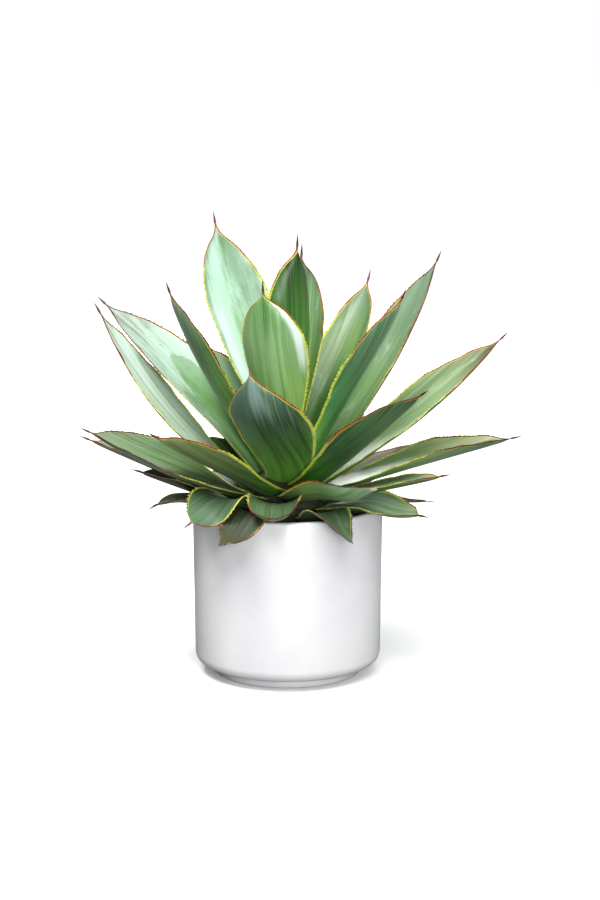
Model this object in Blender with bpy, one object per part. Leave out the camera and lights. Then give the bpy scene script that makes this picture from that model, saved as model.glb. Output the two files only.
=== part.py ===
# Potted agave: a rosette of spiny leaves on a short stem, set in soil in a white glazed pot.
# Metres, +Z up. The pot stands on z = 0 and its axis is the Z axis. -Y is the front.

import math

import bpy
from mathutils import Quaternion, Vector

# ---- driving sizes (metres) ----

potRadius = 0.0750          # outside, at the rim
potHeight = 0.1350
potTaper = 0.0015           # how much narrower the wall is low down
potWall = 0.0060
potFloor = 0.0090
potCorner = 0.0090          # round between the wall and the underside
rimRound = 0.0020
footInset = 0.0165          # foot's edge, in from the outside of the wall
footHeight = 0.0075
footRound = 0.0015
footDraft = 0.0010          # foot is narrower where it meets the body

soilBelowRim = 0.0180
soilDepth = 0.1000
pieceGap = 0.0003           # between pieces that touch
rootDepth = 0.0250          # stem below the soil's surface

stemRadius = 0.0300
stemRise = 0.0180           # widest level of the stem, above the soil
stemDome = 0.0340           # from the widest level to the crown
neckAngle = math.radians(112)   # where the stem's dome meets its straight neck

seatGap = 0.0007            # between a leaf's foot and the stem
rimClear = 0.0020           # between a leaf that lies over the rim and the rim
leafBulk = 0.0046           # thickness of a leaf's middle, near its foot
shootRadius = 0.0046        # rolled young shoot in the heart
shootHeight = 0.1200        # above the crown
# Outline of the shoot: share of its height, share of its radius at the foot.
shootOutline = [(0, 1), (0.35, 1.15), (0.65, 0.85), (0.92, 0.35)]

potSides = 72
stemSides = 32
stemSteps = 14
shootSides = 12

# ---- looks ----

colours = {
    "glaze": (0.86, 0.86, 0.87, 1),
    "soil": (0.055, 0.038, 0.026, 1),
    "stem": (0.25, 0.24, 0.13, 1),
    "leaf_young": (0.16, 0.34, 0.17, 1),
    "leaf_blue": (0.13, 0.29, 0.21, 1),
    "leaf_old": (0.22, 0.22, 0.11, 1),
    "leaf_faded": (0.62, 0.58, 0.40, 1),
}
roughnesses = {
    "glaze": 0.22,
    "soil": 0.95,
    "stem": 0.75,
    "leaf_young": 0.42,
    "leaf_blue": 0.45,
    "leaf_old": 0.60,
    "leaf_faded": 0.70,
}

# ---- leaves, youngest first ----
# toward: compass angle of the tip, degrees from +X     seat: angle of the foot down from the crown
# rise: climb angle at the foot     reach: tip from the axis, mm     height: tip above the soil, mm
# lift: climb angle at the tip      width: widest, mm     cup: half angle of the gutter
# sweep: foot's compass angle less the tip's     roll: twist towards the widest place, degrees

rosette = [
    (-48, 12.5, 87, 12, 232, 86, 46, 46, 0, 0, "leaf_young"),
    (75, 16.0, 82, 44, 219, 80, 50, 44, 6, 0, "leaf_young"),
    (-110, 21.5, 80, 54, 202, 88, 54, 44, 8, 0, "leaf_young"),
    (119, 25.0, 70, 126, 238, 72, 58, 30, 0, 0, "leaf_young"),
    (-25, 27.0, 64, 100, 194, 66, 44, 40, 0, 0, "leaf_blue"),
    (-161, 32.0, 60, 98, 198, 72, 40, 40, 0, 0, "leaf_blue"),
    (60, 35.0, 63, 136, 190, 65, 40, 32, 0, 0, "leaf_young"),
    (-103, 45.0, 37, 120, 147, 88, 64, 38, 14, 0, "leaf_blue"),
    (136, 40.5, 54, 94, 141, 54, 40, 34, 0, 0, "leaf_blue"),
    (24, 47.0, 52, 134, 212, 64, 54, 36, 0, 4, "leaf_blue"),
    (84, 53.5, 46, 116, 134, 46, 44, 34, 0, 0, "leaf_blue"),
    (-47, 55.0, 33, 153, 127, 31, 56, 28, -4, 0, "leaf_blue"),
    (153, 50.0, 52, 173, 172, 38, 56, 36, 0, -8, "leaf_blue"),
    (11, 60.5, 33, 179, 150, 42, 52, 34, 0, 12, "leaf_blue"),
    (118, 64.0, 34, 140, 96, 34, 46, 32, 0, 0, "leaf_blue"),
    (65, 67.0, 32, 145, 84, 26, 46, 32, 0, 0, "leaf_blue"),
    (170, 59.5, 25, 155, 174, 60, 44, 24, 0, -8, "leaf_blue"),
    (-150, 64.0, 26, 123, 86, 30, 56, 34, 26, 14, "leaf_blue"),
    (3, 69.0, 16, 186, 70, 12, 54, 38, 0, 0, "leaf_blue"),
    (91, 77.0, 20, 146, 64, 16, 46, 32, 0, 0, "leaf_old"),
    (-170, 75.5, 20, 164, 84, 26, 52, 36, 22, -12, "leaf_blue"),
    (142, 78.0, 20, 97, 63, 20, 40, 34, 0, 0, "leaf_old"),
    (-50, 70.5, 14, 107, 47, 14, 52, 36, -28, -20, "leaf_blue"),
    (-15, 78.0, 14, 132, 48, 13, 38, 18, 0, 0, "leaf_blue"),
    (28, 83.0, 13, 132, 58, 24, 46, 22, 0, 0, "leaf_faded"),
    (176, 84.5, 19, 166, 70, 20, 40, 30, 4, 0, "leaf_blue"),
]

# Leaves that lie over the rim. Here "past" is how far the tip is past the rim, "above" is the
# tip's height above the rim, and "crest" lifts the leaf where it crosses the rim.
# toward, seat, rise, past, above, crest, width, cup, sweep, roll, colour
skirt = [
    (110, 86.0, 18, 42, 20, 8, 42, 28, 0, 0, "leaf_old"),
    (-29, 90.0, 12, 50, 1, 0, 42, 28, 0, 8, "leaf_blue"),
    (-135, 89.5, 18, 37, -4, 8, 46, 28, 0, 0, "leaf_blue"),
    (-99, 82.5, 18, 18, 6, 5, 40, 46, 0, 0, "leaf_blue"),
    (50, 93.0, 13, 46, 12, 3, 44, 28, 0, 0, "leaf_old"),
    (177, 93.0, 15, 50, 26, 5, 38, 36, 0, 0, "leaf_old"),
    (130, 95.0, 12, 40, 6, 0, 40, 28, 0, 0, "leaf_old"),
    (-2, 99.5, 15, 49, 0, 0, 34, 30, 0, 0, "leaf_old"),
    (-63, 99.0, 6, 31, -13, 0, 36, 24, 0, 0, "leaf_old"),
    (-116, 98.5, 10, 28, -14, 0, 38, 18, 0, 0, "leaf_old"),
    (80, 103.5, 6, 36, 0, 0, 40, 26, 0, 0, "leaf_old"),
    (-165, 103.5, 10, 38, 0, 0, 32, 16, 0, 0, "leaf_old"),
]

# Along a leaf: where its rings are, and its thickness there as a share of the bulk.
leafRings = [
    (0.000, 1.00),
    (0.050, 1.05),
    (0.130, 1.10),
    (0.240, 1.00),
    (0.360, 0.90),
    (0.480, 0.80),
    (0.600, 0.70),
    (0.710, 0.60),
    (0.810, 0.50),
    (0.895, 0.40),
    (0.955, 0.30),
]
# Half width at the foot, as a share of the widest: slim in the heart, clasping lower down.
heartFoot = 0.35
clasping = 0.61
# Where a leaf is widest, in the heart and lower down.
heartWidest = 0.62
outerWidest = 0.50
# The gutter takes its own shape between these places; nearer the foot it is as round as the stem.
gutterStart = 0.05
gutterFull = 0.60
# How far the pull at each end of a leaf's middle line reaches, as a share of its straight length.
pull = 0.36
# The heart's leaves keep their slim shape down to the first angle; past the second they clasp.
heartSeat = 15
outerSeat = 60
# Across a leaf: the upper face from edge to edge, then the underside back again.
upperFace = [-1.0, -0.5, 0.0, 0.5, 1.0]
underFace = [0.55, 0.0, -0.55]

soilTop = potHeight - soilBelowRim
stemLevel = soilTop + stemRise
crownTop = stemLevel + stemDome


def addObject(name, verts, faces, look):
    mesh = bpy.data.meshes.new(name)
    mesh.from_pydata(verts, [], faces)
    mesh.update()
    thing = bpy.data.objects.new(name, mesh)
    bpy.context.collection.objects.link(thing)
    thing.data.materials.append(material(look))
    return thing


def material(look):
    found = bpy.data.materials.get(look)
    if found:
        return found
    made = bpy.data.materials.new(look)
    made.use_nodes = True
    shader = made.node_tree.nodes["Principled BSDF"]
    shader.inputs["Base Color"].default_value = colours[look]
    shader.inputs["Roughness"].default_value = roughnesses[look]
    shader.inputs["Metallic"].default_value = 0
    made.diffuse_color = colours[look]
    return made


def arc(centreR, centreZ, radius, start, end, steps):
    """Points (r, z) of a round, from one angle to another in degrees."""
    points = []
    for i in range(steps + 1):
        a = math.radians(start + (end - start) * i / steps)
        points.append((centreR + radius * math.cos(a), centreZ + radius * math.sin(a)))
    return points


def turned(name, profile, sides, look):
    """Closed solid of revolution. The profile runs from the axis round to the axis,
    anticlockwise in the (r, z) plane."""
    verts = []
    rings = []
    for r, z in profile:
        if r < 1e-6:
            rings.append([len(verts)])
            verts.append((0, 0, z))
            continue
        ring = []
        for i in range(sides):
            a = 2 * math.pi * i / sides
            ring.append(len(verts))
            verts.append((r * math.cos(a), r * math.sin(a), z))
        rings.append(ring)
    faces = []
    for low, high in zip(rings, rings[1:]):
        for i in range(sides):
            j = (i + 1) % sides
            if len(low) == 1:
                faces.append((low[0], high[j], high[i]))
            elif len(high) == 1:
                faces.append((low[i], low[j], high[0]))
            else:
                faces.append((low[i], low[j], high[j], high[i]))
    return addObject(name, verts, faces, look)


def buildPot():
    low = potRadius - potTaper
    foot = potRadius - footInset
    inside = low - potWall
    profile = [(0, 0), (foot - footRound, 0)]
    profile += arc(foot - footRound, footRound, footRound, -60, 0, 2)
    profile += [(foot - footDraft, footHeight)]
    profile += arc(low - potCorner, footHeight + potCorner, potCorner, -90, 0, 6)
    profile += arc(potRadius - rimRound, potHeight - rimRound, rimRound, 0, 90, 3)
    profile += arc(potRadius - potWall + rimRound, potHeight - rimRound, rimRound, 90, 180, 3)
    profile += arc(inside - potCorner, potFloor + potCorner, potCorner, 0, -90, 4)
    profile += [(0, potFloor)]
    return turned("pot", profile, potSides, "glaze")


def potInside(z):
    """Inner radius of the pot's straight wall at a height."""
    bottom = footHeight + potCorner
    share = (z - bottom) / (potHeight - rimRound - bottom)
    return potRadius - potTaper - potWall + potTaper * share


def neckRadius():
    return stemRadius * math.sin(neckAngle)


def buildSoil():
    bottom = soilTop - soilDepth
    pocket = neckRadius() + pieceGap
    # The round at the bottom of the soil is larger than the pot's, so that it clears it.
    corner = potCorner + pieceGap
    outerLow = potInside(bottom + corner) - pieceGap
    outerTop = potInside(soilTop) - pieceGap
    profile = [(0, bottom)]
    profile += arc(outerLow - corner, bottom + corner, corner, -90, 0, 3)
    profile += [(outerTop, soilTop), (pocket, soilTop), (pocket, soilTop - rootDepth - pieceGap)]
    profile += [(0, soilTop - rootDepth - pieceGap)]
    return turned("soil", profile, potSides, "soil")


def domePoint(angle, gap=0.0):
    """Point (r, z) on the stem, at an angle down from its crown."""
    return (stemRadius + gap) * math.sin(angle), stemLevel + (stemDome + gap) * math.cos(angle)


def buildStem():
    profile = [(0, soilTop - rootDepth), (neckRadius(), soilTop - rootDepth)]
    for i in range(stemSteps):
        profile.append(domePoint(neckAngle * (1 - i / stemSteps)))
    profile.append((0, crownTop))
    return turned("stem", profile, stemSides, "stem")


def buildShoot():
    """The rolled young leaves in the heart, as one slender spear."""
    foot = crownTop + pieceGap
    profile = [(0, foot)]
    for up, out in shootOutline:
        profile.append((shootRadius * out, foot + shootHeight * up))
    profile.append((0, foot + shootHeight))
    return turned("shoot", profile, shootSides, "leaf_young")


def smooth(x):
    x = min(max(x, 0.0), 1.0)
    return x * x * (3 - 2 * x)


def bezier(points, t):
    a, b, c, d = points
    u = 1 - t
    place = a * u**3 + b * (3 * u * u * t) + c * (3 * u * t * t) + d * t**3
    slope = (b - a) * (3 * u * u) + (c - b) * (6 * u * t) + (d - c) * (3 * t * t)
    return place, slope.normalized()


def outward(compass, climb):
    return Vector((
        math.cos(climb) * math.cos(compass),
        math.cos(climb) * math.sin(compass),
        math.sin(climb),
    ))


def ontoStem(point, along):
    """Slides a point back along the leaf to the stem's surface, less the seat gap."""
    a = stemRadius + seatGap
    c = stemDome + seatGap
    p = Vector((point.x / a, point.y / a, (point.z - stemLevel) / c))
    d = Vector((along.x / a, along.y / a, along.z / c))
    qa = d.dot(d)
    qb = 2 * p.dot(d)
    qc = p.dot(p) - 1
    root = math.sqrt(max(qb * qb - 4 * qa * qc, 0.0))
    return point + along * ((-qb + root) / (2 * qa))


def widthShare(place, seat):
    """Half width at a place along a leaf, as a share of its widest."""
    age = smooth((seat - heartSeat) / (outerSeat - heartSeat))
    foot = heartFoot + (clasping - heartFoot) * age
    widest = heartWidest + (outerWidest - heartWidest) * age
    if place > widest:
        return (1 - ((place - widest) / (1 - widest)) ** 2.2) ** 1.5
    return foot + (1 - foot) * smooth(place / widest)


def restingLine(foot, start, tip, end):
    """Middle line of a leaf, as the four points of a Bezier curve."""
    handle = (tip - foot).length * pull
    return [foot, foot + start * handle, tip - end * handle, tip]


def lineOverRim(foot, start, tip, compass, crest):
    """Middle line of a leaf that crosses the rim with clearance and bends down past it."""
    handle = (tip - foot).length * pull
    over = outward(compass, 0) * potRadius
    over.z = potHeight + leafBulk + rimClear + crest
    footR = Vector((foot.x, foot.y)).length
    tipR = Vector((tip.x, tip.y)).length
    t = (potRadius - footR) / (tipR - footR)
    u = 1 - t
    first = foot + start * handle
    second = (over - foot * u**3 - first * (3 * u * u * t) - tip * t**3) / (3 * u * t * t)
    return [foot, first, second, tip]


def buildLeaf(number, traits, overRim):
    toward, seat, rise, reach, height, lift, width, cup, sweep, roll, look = traits
    tipCompass = math.radians(toward)
    footCompass = math.radians(toward + sweep)
    footR, footZ = domePoint(math.radians(seat))
    foot = Vector((footR * math.cos(footCompass), footR * math.sin(footCompass), footZ))
    start = outward(footCompass, math.radians(rise))
    if overRim:
        tip = outward(tipCompass, 0) * (potRadius + reach / 1000)
        tip.z = potHeight + height / 1000
        line = lineOverRim(foot, start, tip, (tipCompass + footCompass) / 2, lift / 1000)
    else:
        tip = outward(tipCompass, 0) * (reach / 1000)
        tip.z = soilTop + height / 1000
        line = restingLine(foot, start, tip, outward(tipCompass, math.radians(lift)))

    verts = []
    for place, bulk in leafRings:
        centre, along = bezier(line, place)
        half = width / 2000 * widthShare(place, seat)
        ring = leafRing(centre, along, place, half, math.radians(cup), math.radians(roll),
                        leafBulk * bulk)
        if place == 0:
            ring = [ontoStem(p, start) for p in ring]
        verts += ring
    count = len(upperFace) + len(underFace)
    rows = len(leafRings)
    # The foot is closed in short strips, so that it stays as round as the stem.
    faces = [(0, 1, 7), (1, 2, 6, 7), (2, 3, 5, 6), (3, 4, 5)]
    for row in range(rows - 1):
        for i in range(count):
            j = (i + 1) % count
            a = row * count
            b = a + count
            faces.append((a + i, b + i, b + j, a + j))
    verts.append(tip)
    last = (rows - 1) * count
    for i in range(count):
        faces.append((last + i, len(verts) - 1, last + (i + 1) % count))
    return addObject("leaf_%02d" % number, verts, faces, look)


def leafRing(centre, along, place, half, cup, roll, thick):
    """Points round a leaf: a gutter above, and a rounded keel below."""
    side = Vector((-along.y, along.x, 0)).normalized()
    side.rotate(Quaternion(along, roll * smooth(place / outerWidest)))
    up = along.cross(side)
    radius = Vector((centre.x, centre.y)).length
    clasp = min(half * max(along.z, 0.10) / radius, 1.0)
    bend = clasp + (cup - clasp) * smooth((place - gutterStart) / (gutterFull - gutterStart))
    gutter = half / math.sin(bend)
    ring = []
    for v in upperFace:
        a = bend * v
        ring.append(centre + side * (gutter * math.sin(a)) + up * (gutter * (1 - math.cos(a))))
    for v in underFace:
        a = bend * v
        spot = centre + side * (gutter * math.sin(a)) + up * (gutter * (1 - math.cos(a)))
        inward = up * math.cos(a) - side * math.sin(a)
        ring.append(spot - inward * (thick * (1 - v * v)))
    return ring


def clearScene():
    for thing in list(bpy.data.objects):
        bpy.data.objects.remove(thing, do_unlink=True)


clearScene()
buildPot()
buildSoil()
buildStem()
buildShoot()
number = 1
for traits in rosette:
    buildLeaf(number, traits, False)
    number += 1
for traits in skirt:
    buildLeaf(number, traits, True)
    number += 1
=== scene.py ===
import math
import random

import bmesh
import bpy
import numpy as np
from mathutils import Matrix, Vector, noise


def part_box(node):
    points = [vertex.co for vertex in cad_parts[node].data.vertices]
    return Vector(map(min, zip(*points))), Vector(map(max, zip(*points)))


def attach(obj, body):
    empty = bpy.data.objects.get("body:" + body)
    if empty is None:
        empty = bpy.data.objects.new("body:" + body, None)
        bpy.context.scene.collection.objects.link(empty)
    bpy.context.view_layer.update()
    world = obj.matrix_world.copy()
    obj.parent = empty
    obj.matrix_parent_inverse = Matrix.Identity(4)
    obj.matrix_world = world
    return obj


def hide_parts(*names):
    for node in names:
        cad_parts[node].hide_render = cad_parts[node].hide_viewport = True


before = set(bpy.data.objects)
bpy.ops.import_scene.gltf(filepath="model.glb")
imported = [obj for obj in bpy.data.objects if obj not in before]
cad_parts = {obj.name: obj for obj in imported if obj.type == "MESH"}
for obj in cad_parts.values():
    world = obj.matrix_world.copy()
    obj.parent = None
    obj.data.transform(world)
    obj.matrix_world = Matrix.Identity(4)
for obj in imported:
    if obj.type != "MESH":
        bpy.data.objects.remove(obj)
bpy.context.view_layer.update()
print("packed model loaded:", len(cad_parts), "nodes")

mm = 0.001

camera = {
    "pitch": 11.0,  # degrees below the horizon
    "lens": 100.0,
    "distance": 2.0,
    "aimRight": 0.00976,  # metres from the middle of the pot's foot
    "aimUp": 0.17424,
}

studio = {
    "backdrop": (1.0, 1.0, 1.0),
    "world": (0.95, 0.98, 1.0),
    "worldStrength": 0.07,
    "ceiling": ((-0.04, -0.42, 1.0), 3.3, 50.0),  # direction it shines from, strength, spread in degrees
    # place, aim, width and height, power, colour
    "top": ((-0.48, -0.30, 1.35), (0.0, 0.0, 0.24), (0.5, 0.5), 13.0, (1.0, 1.0, 0.98)),
    "front": ((0.35, -1.90, 0.45), (0.0, 0.0, 0.14), (0.8, 0.8), 25.0, (1.0, 1.0, 1.0)),
    "right": ((1.20, 0.30, 0.95), (0.0, 0.0, 0.20), (0.6, 0.8), 7.0, (0.95, 0.98, 1.0)),
    "back": ((-0.30, 1.90, 0.60), (0.0, 0.0, 0.14), (0.9, 0.9), 15.0, (1.0, 1.0, 1.0)),
    "floor": (0.97, 0.97, 0.97),
    "floorGlow": (0.20, 0.20, 0.20),  # what the floor throws back onto the pot
    "floorLift": 0.10,  # keeps the paper white far back
    "floorSize": 12.0,
}


def makeCamera():
    tilt = math.radians(camera["pitch"])
    back = Vector((0, -math.cos(tilt), math.sin(tilt)))
    right = Vector((1, 0, 0))
    up = right.cross(-back)
    aim = right * camera["aimRight"] + up * camera["aimUp"]
    lens = bpy.data.cameras.new("camera")
    lens.lens = camera["lens"]
    lens.sensor_width = 36.0
    lens.clip_start, lens.clip_end = 0.05, 50.0
    eye = bpy.data.objects.new("camera", lens)
    bpy.context.scene.collection.objects.link(eye)
    turn = Matrix((right, up, back)).transposed().to_4x4()
    eye.matrix_world = Matrix.Translation(aim + back * camera["distance"]) @ turn
    bpy.context.scene.camera = eye


def placeLight(name, kind, spot, aim):
    lamp = bpy.data.lights.new(name, kind)
    holder = bpy.data.objects.new(name, lamp)
    bpy.context.scene.collection.objects.link(holder)
    holder.location = spot
    holder.rotation_mode = "QUATERNION"
    holder.rotation_quaternion = (Vector(aim) - Vector(spot)).to_track_quat("-Z", "Y")
    return lamp


def makeLight(name, spot, aim, size, power, tint):
    lamp = placeLight(name, "AREA", spot, aim)
    lamp.shape = "RECTANGLE"
    lamp.size, lamp.size_y = size
    lamp.energy, lamp.color = power, tint


def makeCeiling(source, strength, spread):
    lamp = placeLight("ceiling", "SUN", source, (0, 0, 0))
    lamp.energy, lamp.angle = strength, math.radians(spread)


def addMesh(name, points, faces):
    mesh = bpy.data.meshes.new(name)
    mesh.from_pydata([tuple(p) for p in points], [], faces)
    mesh.shade_smooth()
    piece = bpy.data.objects.new(name, mesh)
    bpy.context.scene.collection.objects.link(piece)
    return piece


def writeAttribute(mesh, name, values):
    values = np.asarray(values, np.float32)
    kind = "FLOAT" if values.ndim == 1 else "FLOAT_VECTOR"
    layer = mesh.attributes.new(name, kind, "POINT")
    layer.data.foreach_set("value" if kind == "FLOAT" else "vector", values.ravel())


def colour(code):
    # "#rrggbb" as the linear colour that the shaders take
    parts = [int(code[i:i + 2], 16) / 255 for i in (1, 3, 5)]
    return tuple(p / 12.92 if p < 0.04045 else ((p + 0.055) / 1.055) ** 2.4 for p in parts) + (1.0,)


desk = {"tree": None}  # the node tree that the helpers below add to


def plug(value, socket):
    if isinstance(value, bpy.types.NodeSocket):
        desk["tree"].links.new(value, socket)
    elif isinstance(value, str):
        socket.default_value = colour(value)
    else:
        socket.default_value = value


def newNode(kind, inputs={}):
    node = desk["tree"].nodes.new(kind)
    for label, value in inputs.items():
        plug(value, node.inputs[label])
    return node


def maths(operation, *values):
    node = newNode("ShaderNodeMath")
    node.operation = operation
    for value, socket in zip(values, node.inputs):
        plug(value, socket)
    return node.outputs[0]


def plus(first, second):
    return maths("ADD", first, second)


def minus(first, second):
    return maths("SUBTRACT", first, second)


def times(first, second):
    return maths("MULTIPLY", first, second)


def lift(base, value, share):
    return plus(base, times(value, share))


def swing(value, reach):
    # turns 0 .. 1 into a push either way of half the reach
    return times(minus(value, 0.5), reach)


def blend(share, first, second, mode="MIX"):
    node = newNode("ShaderNodeMix")
    node.data_type, node.blend_type = "RGBA", mode
    plug(share, node.inputs[0])
    plug(first, node.inputs[6])
    plug(second, node.inputs[7])
    return node.outputs[2]


def ease(value, low, high, start=0.0, end=1.0):
    node = newNode("ShaderNodeMapRange")
    node.interpolation_type = "SMOOTHSTEP"
    for item, socket in zip((value, low, high, start, end), node.inputs):
        plug(item, socket)
    return node.outputs[0]


def ramp(value, stops):
    node = newNode("ShaderNodeValToRGB")
    plug(value, node.inputs[0])
    band = node.color_ramp
    while len(band.elements) < len(stops):
        band.elements.new(0.5)
    for mark, (spot, tint) in zip(band.elements, stops):
        mark.position = spot
        mark.color = colour(tint)
    return node.outputs[0]


def stretch(vector, scale, shift=(0, 0, 0)):
    return newNode("ShaderNodeMapping", {"Vector": vector, "Scale": scale, "Location": shift}).outputs[0]


def cloud(vector, scale, detail=2.0, rough=0.5, warp=0.0):
    return newNode("ShaderNodeTexNoise", {
        "Vector": vector, "Scale": scale, "Detail": detail, "Roughness": rough,
        "Distortion": warp}).outputs["Fac"]


def pulledCloud(vector, scale, *settings):
    # noise with a scale of its own along each axis
    return cloud(stretch(vector, scale), 1.0, *settings)


def cells(vector, scale):
    # how far each spot is from the middle of its cell
    return newNode("ShaderNodeTexVoronoi", {"Vector": vector, "Scale": scale}).outputs["Distance"]


def position():
    return newNode("ShaderNodeNewGeometry").outputs["Position"]


def attribute(name, output="Fac"):
    node = newNode("ShaderNodeAttribute")
    node.attribute_name = name
    return node.outputs[output]


def bump(height, strength, distance):
    return newNode("ShaderNodeBump", {
        "Strength": strength, "Distance": distance, "Height": height}).outputs[0]


def newGroup(name, inputs, *outputs):
    # an input is given by its default value, or by its kind if it has none
    tree = desk["tree"] = bpy.data.node_groups.new(name, "ShaderNodeTree")
    for label, default in inputs.items():
        kind = default if isinstance(default, str) else "Float"
        socket = tree.interface.new_socket(label, in_out="INPUT", socket_type="NodeSocket" + kind)
        if kind == "Float":
            socket.default_value = default
    for label in outputs:
        kind = "NodeSocketColor" if label == "Colour" else "NodeSocketFloat"
        tree.interface.new_socket(label, in_out="OUTPUT", socket_type=kind)
    return newNode("NodeGroupInput").outputs, newNode("NodeGroupOutput").inputs


def useGroup(group, values):
    node = newNode("ShaderNodeGroup")
    node.node_tree = group
    for label, value in values.items():
        plug(value, node.inputs[label])
    return node.outputs


def newMaterial(name):
    made = bpy.data.materials.new(name)
    made.use_nodes = True
    tree = desk["tree"] = made.node_tree
    tree.nodes.clear()
    shader = newNode("ShaderNodeBsdfPrincipled")
    plug(shader.outputs[0], newNode("ShaderNodeOutputMaterial").inputs[0])
    return made, shader.inputs


def layOut():
    # puts the nodes in columns, the output on the right
    tree = desk["tree"]
    depth = {node: 0 for node in tree.nodes}
    for _ in range(40):
        moved = False
        for link in tree.links:
            if depth[link.from_node] <= depth[link.to_node]:
                depth[link.from_node] = depth[link.to_node] + 1
                moved = True
        if not moved:
            break
    rows = {}
    for node in tree.nodes:
        row = rows.setdefault(depth[node], [0])
        node.location = (-220 * depth[node], -190 * row[0])
        row[0] += 1
    return tree


def finishMaterial(made, sockets, tint, rough, height, strength, distance):
    plug(tint, sockets["Base Color"])
    plug(rough, sockets["Roughness"])
    plug(bump(height, strength, distance), sockets["Normal"])
    layOut()
    return made


makeCamera()
print("camera placed")


def streakGroup():
    # fine lines and broad bands that run the length of a leaf
    given, gives = newGroup("leafStreaks", {"Flat": "Vector"}, "Fine", "Broad", "Vein")
    flat = given["Flat"]
    fine = pulledCloud(flat, (0.62, 0.006, 1.0), 4.0, 0.7)
    broad = pulledCloud(flat, (0.17, 0.004, 1.0), 2.0, 0.5, 0.1)
    vein = pulledCloud(flat, (2.0, 0.012, 1.0), 2.0, 0.5)
    plug(ease(fine, 0.30, 0.70), gives["Fine"])
    plug(ease(broad, 0.32, 0.68), gives["Broad"])
    plug(vein, gives["Vein"])
    return layOut()


def bloomGroup():
    # the powdery wax: patches, rubbed spots and a mottle
    given, gives = newGroup("waxBloom", {"Flat": "Vector", "Cover": 0.5}, "Wax", "Mottle")
    flat = given["Flat"]
    patch = pulledCloud(flat, (0.075, 0.022, 1.0), 4.0, 0.6, 0.6)
    rubbed = pulledCloud(flat, (0.5, 0.12, 1.0), 4.0, 0.65, 0.8)
    raised = plus(patch, swing(rubbed, 0.35))
    start = lift(0.86, given["Cover"], -0.72)
    plug(ease(raised, start, plus(start, 0.26)), gives["Wax"])
    plug(cloud(flat, 0.9, 3.0, 0.6), gives["Mottle"])
    return layOut()


def imprintGroup():
    # the arch that a neighbour's edge pressed into the leaf in the bud
    given, gives = newGroup("budImprint", {
        "Place": 0.0, "Side": 0.0, "Flat": "Vector", "Top": 0.7, "Middle": 0.0, "Width": 0.8,
        "Long": 0.6}, "Inside", "Line")
    flat = given["Flat"]
    wander = pulledCloud(flat, (0.30, 0.16, 1.0), 3.0, 0.7)
    teeth = pulledCloud(flat, (1.1, 0.5, 1.0), 1.0, 0.5)
    down = maths("DIVIDE", minus(given["Top"], given["Place"]), given["Long"])
    down = maths("MAXIMUM", down, 0.0)
    wide = times(maths("POWER", down, 0.62), given["Width"])
    away = maths("ABSOLUTE", minus(given["Side"], given["Middle"]))
    jagged = plus(swing(wander, 0.34), swing(teeth, 0.16))
    gap = plus(minus(wide, away), jagged)
    plug(ease(gap, -0.03, 0.035), gives["Inside"])
    plug(times(ease(gap, -0.05, 0.0), ease(gap, 0.05, 0.0)), gives["Line"])
    return layOut()


def edgeGroup():
    # yellow line inside the edge, then the horny edge itself and its teeth
    given, gives = newGroup("hornyEdge", {
        "Place": 0.0, "Gap": 0.0, "Hard": 0.0, "Flat": "Vector", "Turn": 0.5, "Width": 1.0, "Root": "Color",
        "Middle": "Color", "Tip": "Color", "Line": "Color", "Tooth": "Color"}, "Colour", "Mask")
    flat = given["Flat"]
    patchy = pulledCloud(flat, (0.3, 0.14, 1.0), 3.0, 0.6)
    nibble = pulledCloud(flat, (0.2, 0.65, 1.0), 2.0, 0.6)
    dots = pulledCloud(flat, (0.02, 0.62, 1.0), 1.0, 0.5)
    shifted = plus(given["Place"], swing(patchy, 0.28))
    turn = given["Turn"]
    toMiddle = ease(shifted, minus(turn, 0.16), turn)
    toTip = ease(shifted, plus(turn, 0.06), plus(turn, 0.30))
    horn = blend(toTip, blend(toMiddle, given["Root"], given["Middle"]), given["Tip"])
    horn = blend(times(ease(dots, 0.5, 0.62), 0.6), horn, given["Tip"])
    tooth = blend(toMiddle, given["Tooth"], given["Tip"])
    horn = blend(times(ease(given["Hard"], 1.05, 1.5), 0.9), horn, tooth)
    wide = times(given["Width"], plus(0.5, nibble))
    wide = times(wide, lift(1.0, toTip, -0.45))
    inLine = ease(given["Gap"], wide, times(wide, 0.62))
    inRed = ease(given["Gap"], times(wide, 0.75), times(wide, 0.35))
    lineShade = blend(times(toMiddle, inRed), given["Line"], given["Middle"])
    lineShade = blend(times(toTip, 0.7), lineShade, given["Middle"])
    isHorn = ease(given["Hard"], 0.4, 0.6)
    plug(blend(isHorn, lineShade, horn), gives["Colour"])
    plug(maths("MAXIMUM", inLine, isHorn), gives["Mask"])
    return layOut()


def scarGroup():
    # corky specks and small scabs
    given, gives = newGroup("corkSpecks", {"Flat": "Vector", "Amount": 0.2}, "Mask")
    flat = given["Flat"]
    spots = cells(stretch(flat, (0.30, 0.19, 1.0)), 1.0)
    shape = cloud(flat, 1.4, 3.0, 0.7)
    size = times(given["Amount"], 0.30)
    reach = maths("MAXIMUM", lift(size, shape, -0.22), 0.0)
    pick = cloud(stretch(flat, (0.05, 0.028, 1.0), (3.0, 7.0, 0.0)), 1.0, 1.0)
    mask = ease(minus(reach, spots), 0.0, 0.03)
    plug(times(mask, ease(pick, 0.52, 0.62)), gives["Mask"])
    return layOut()


leafStreaks = streakGroup()
waxBloom = bloomGroup()
budImprint = imprintGroup()
hornyEdge = edgeGroup()
corkSpecks = scarGroup()
print("leaf shader groups made")

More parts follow.
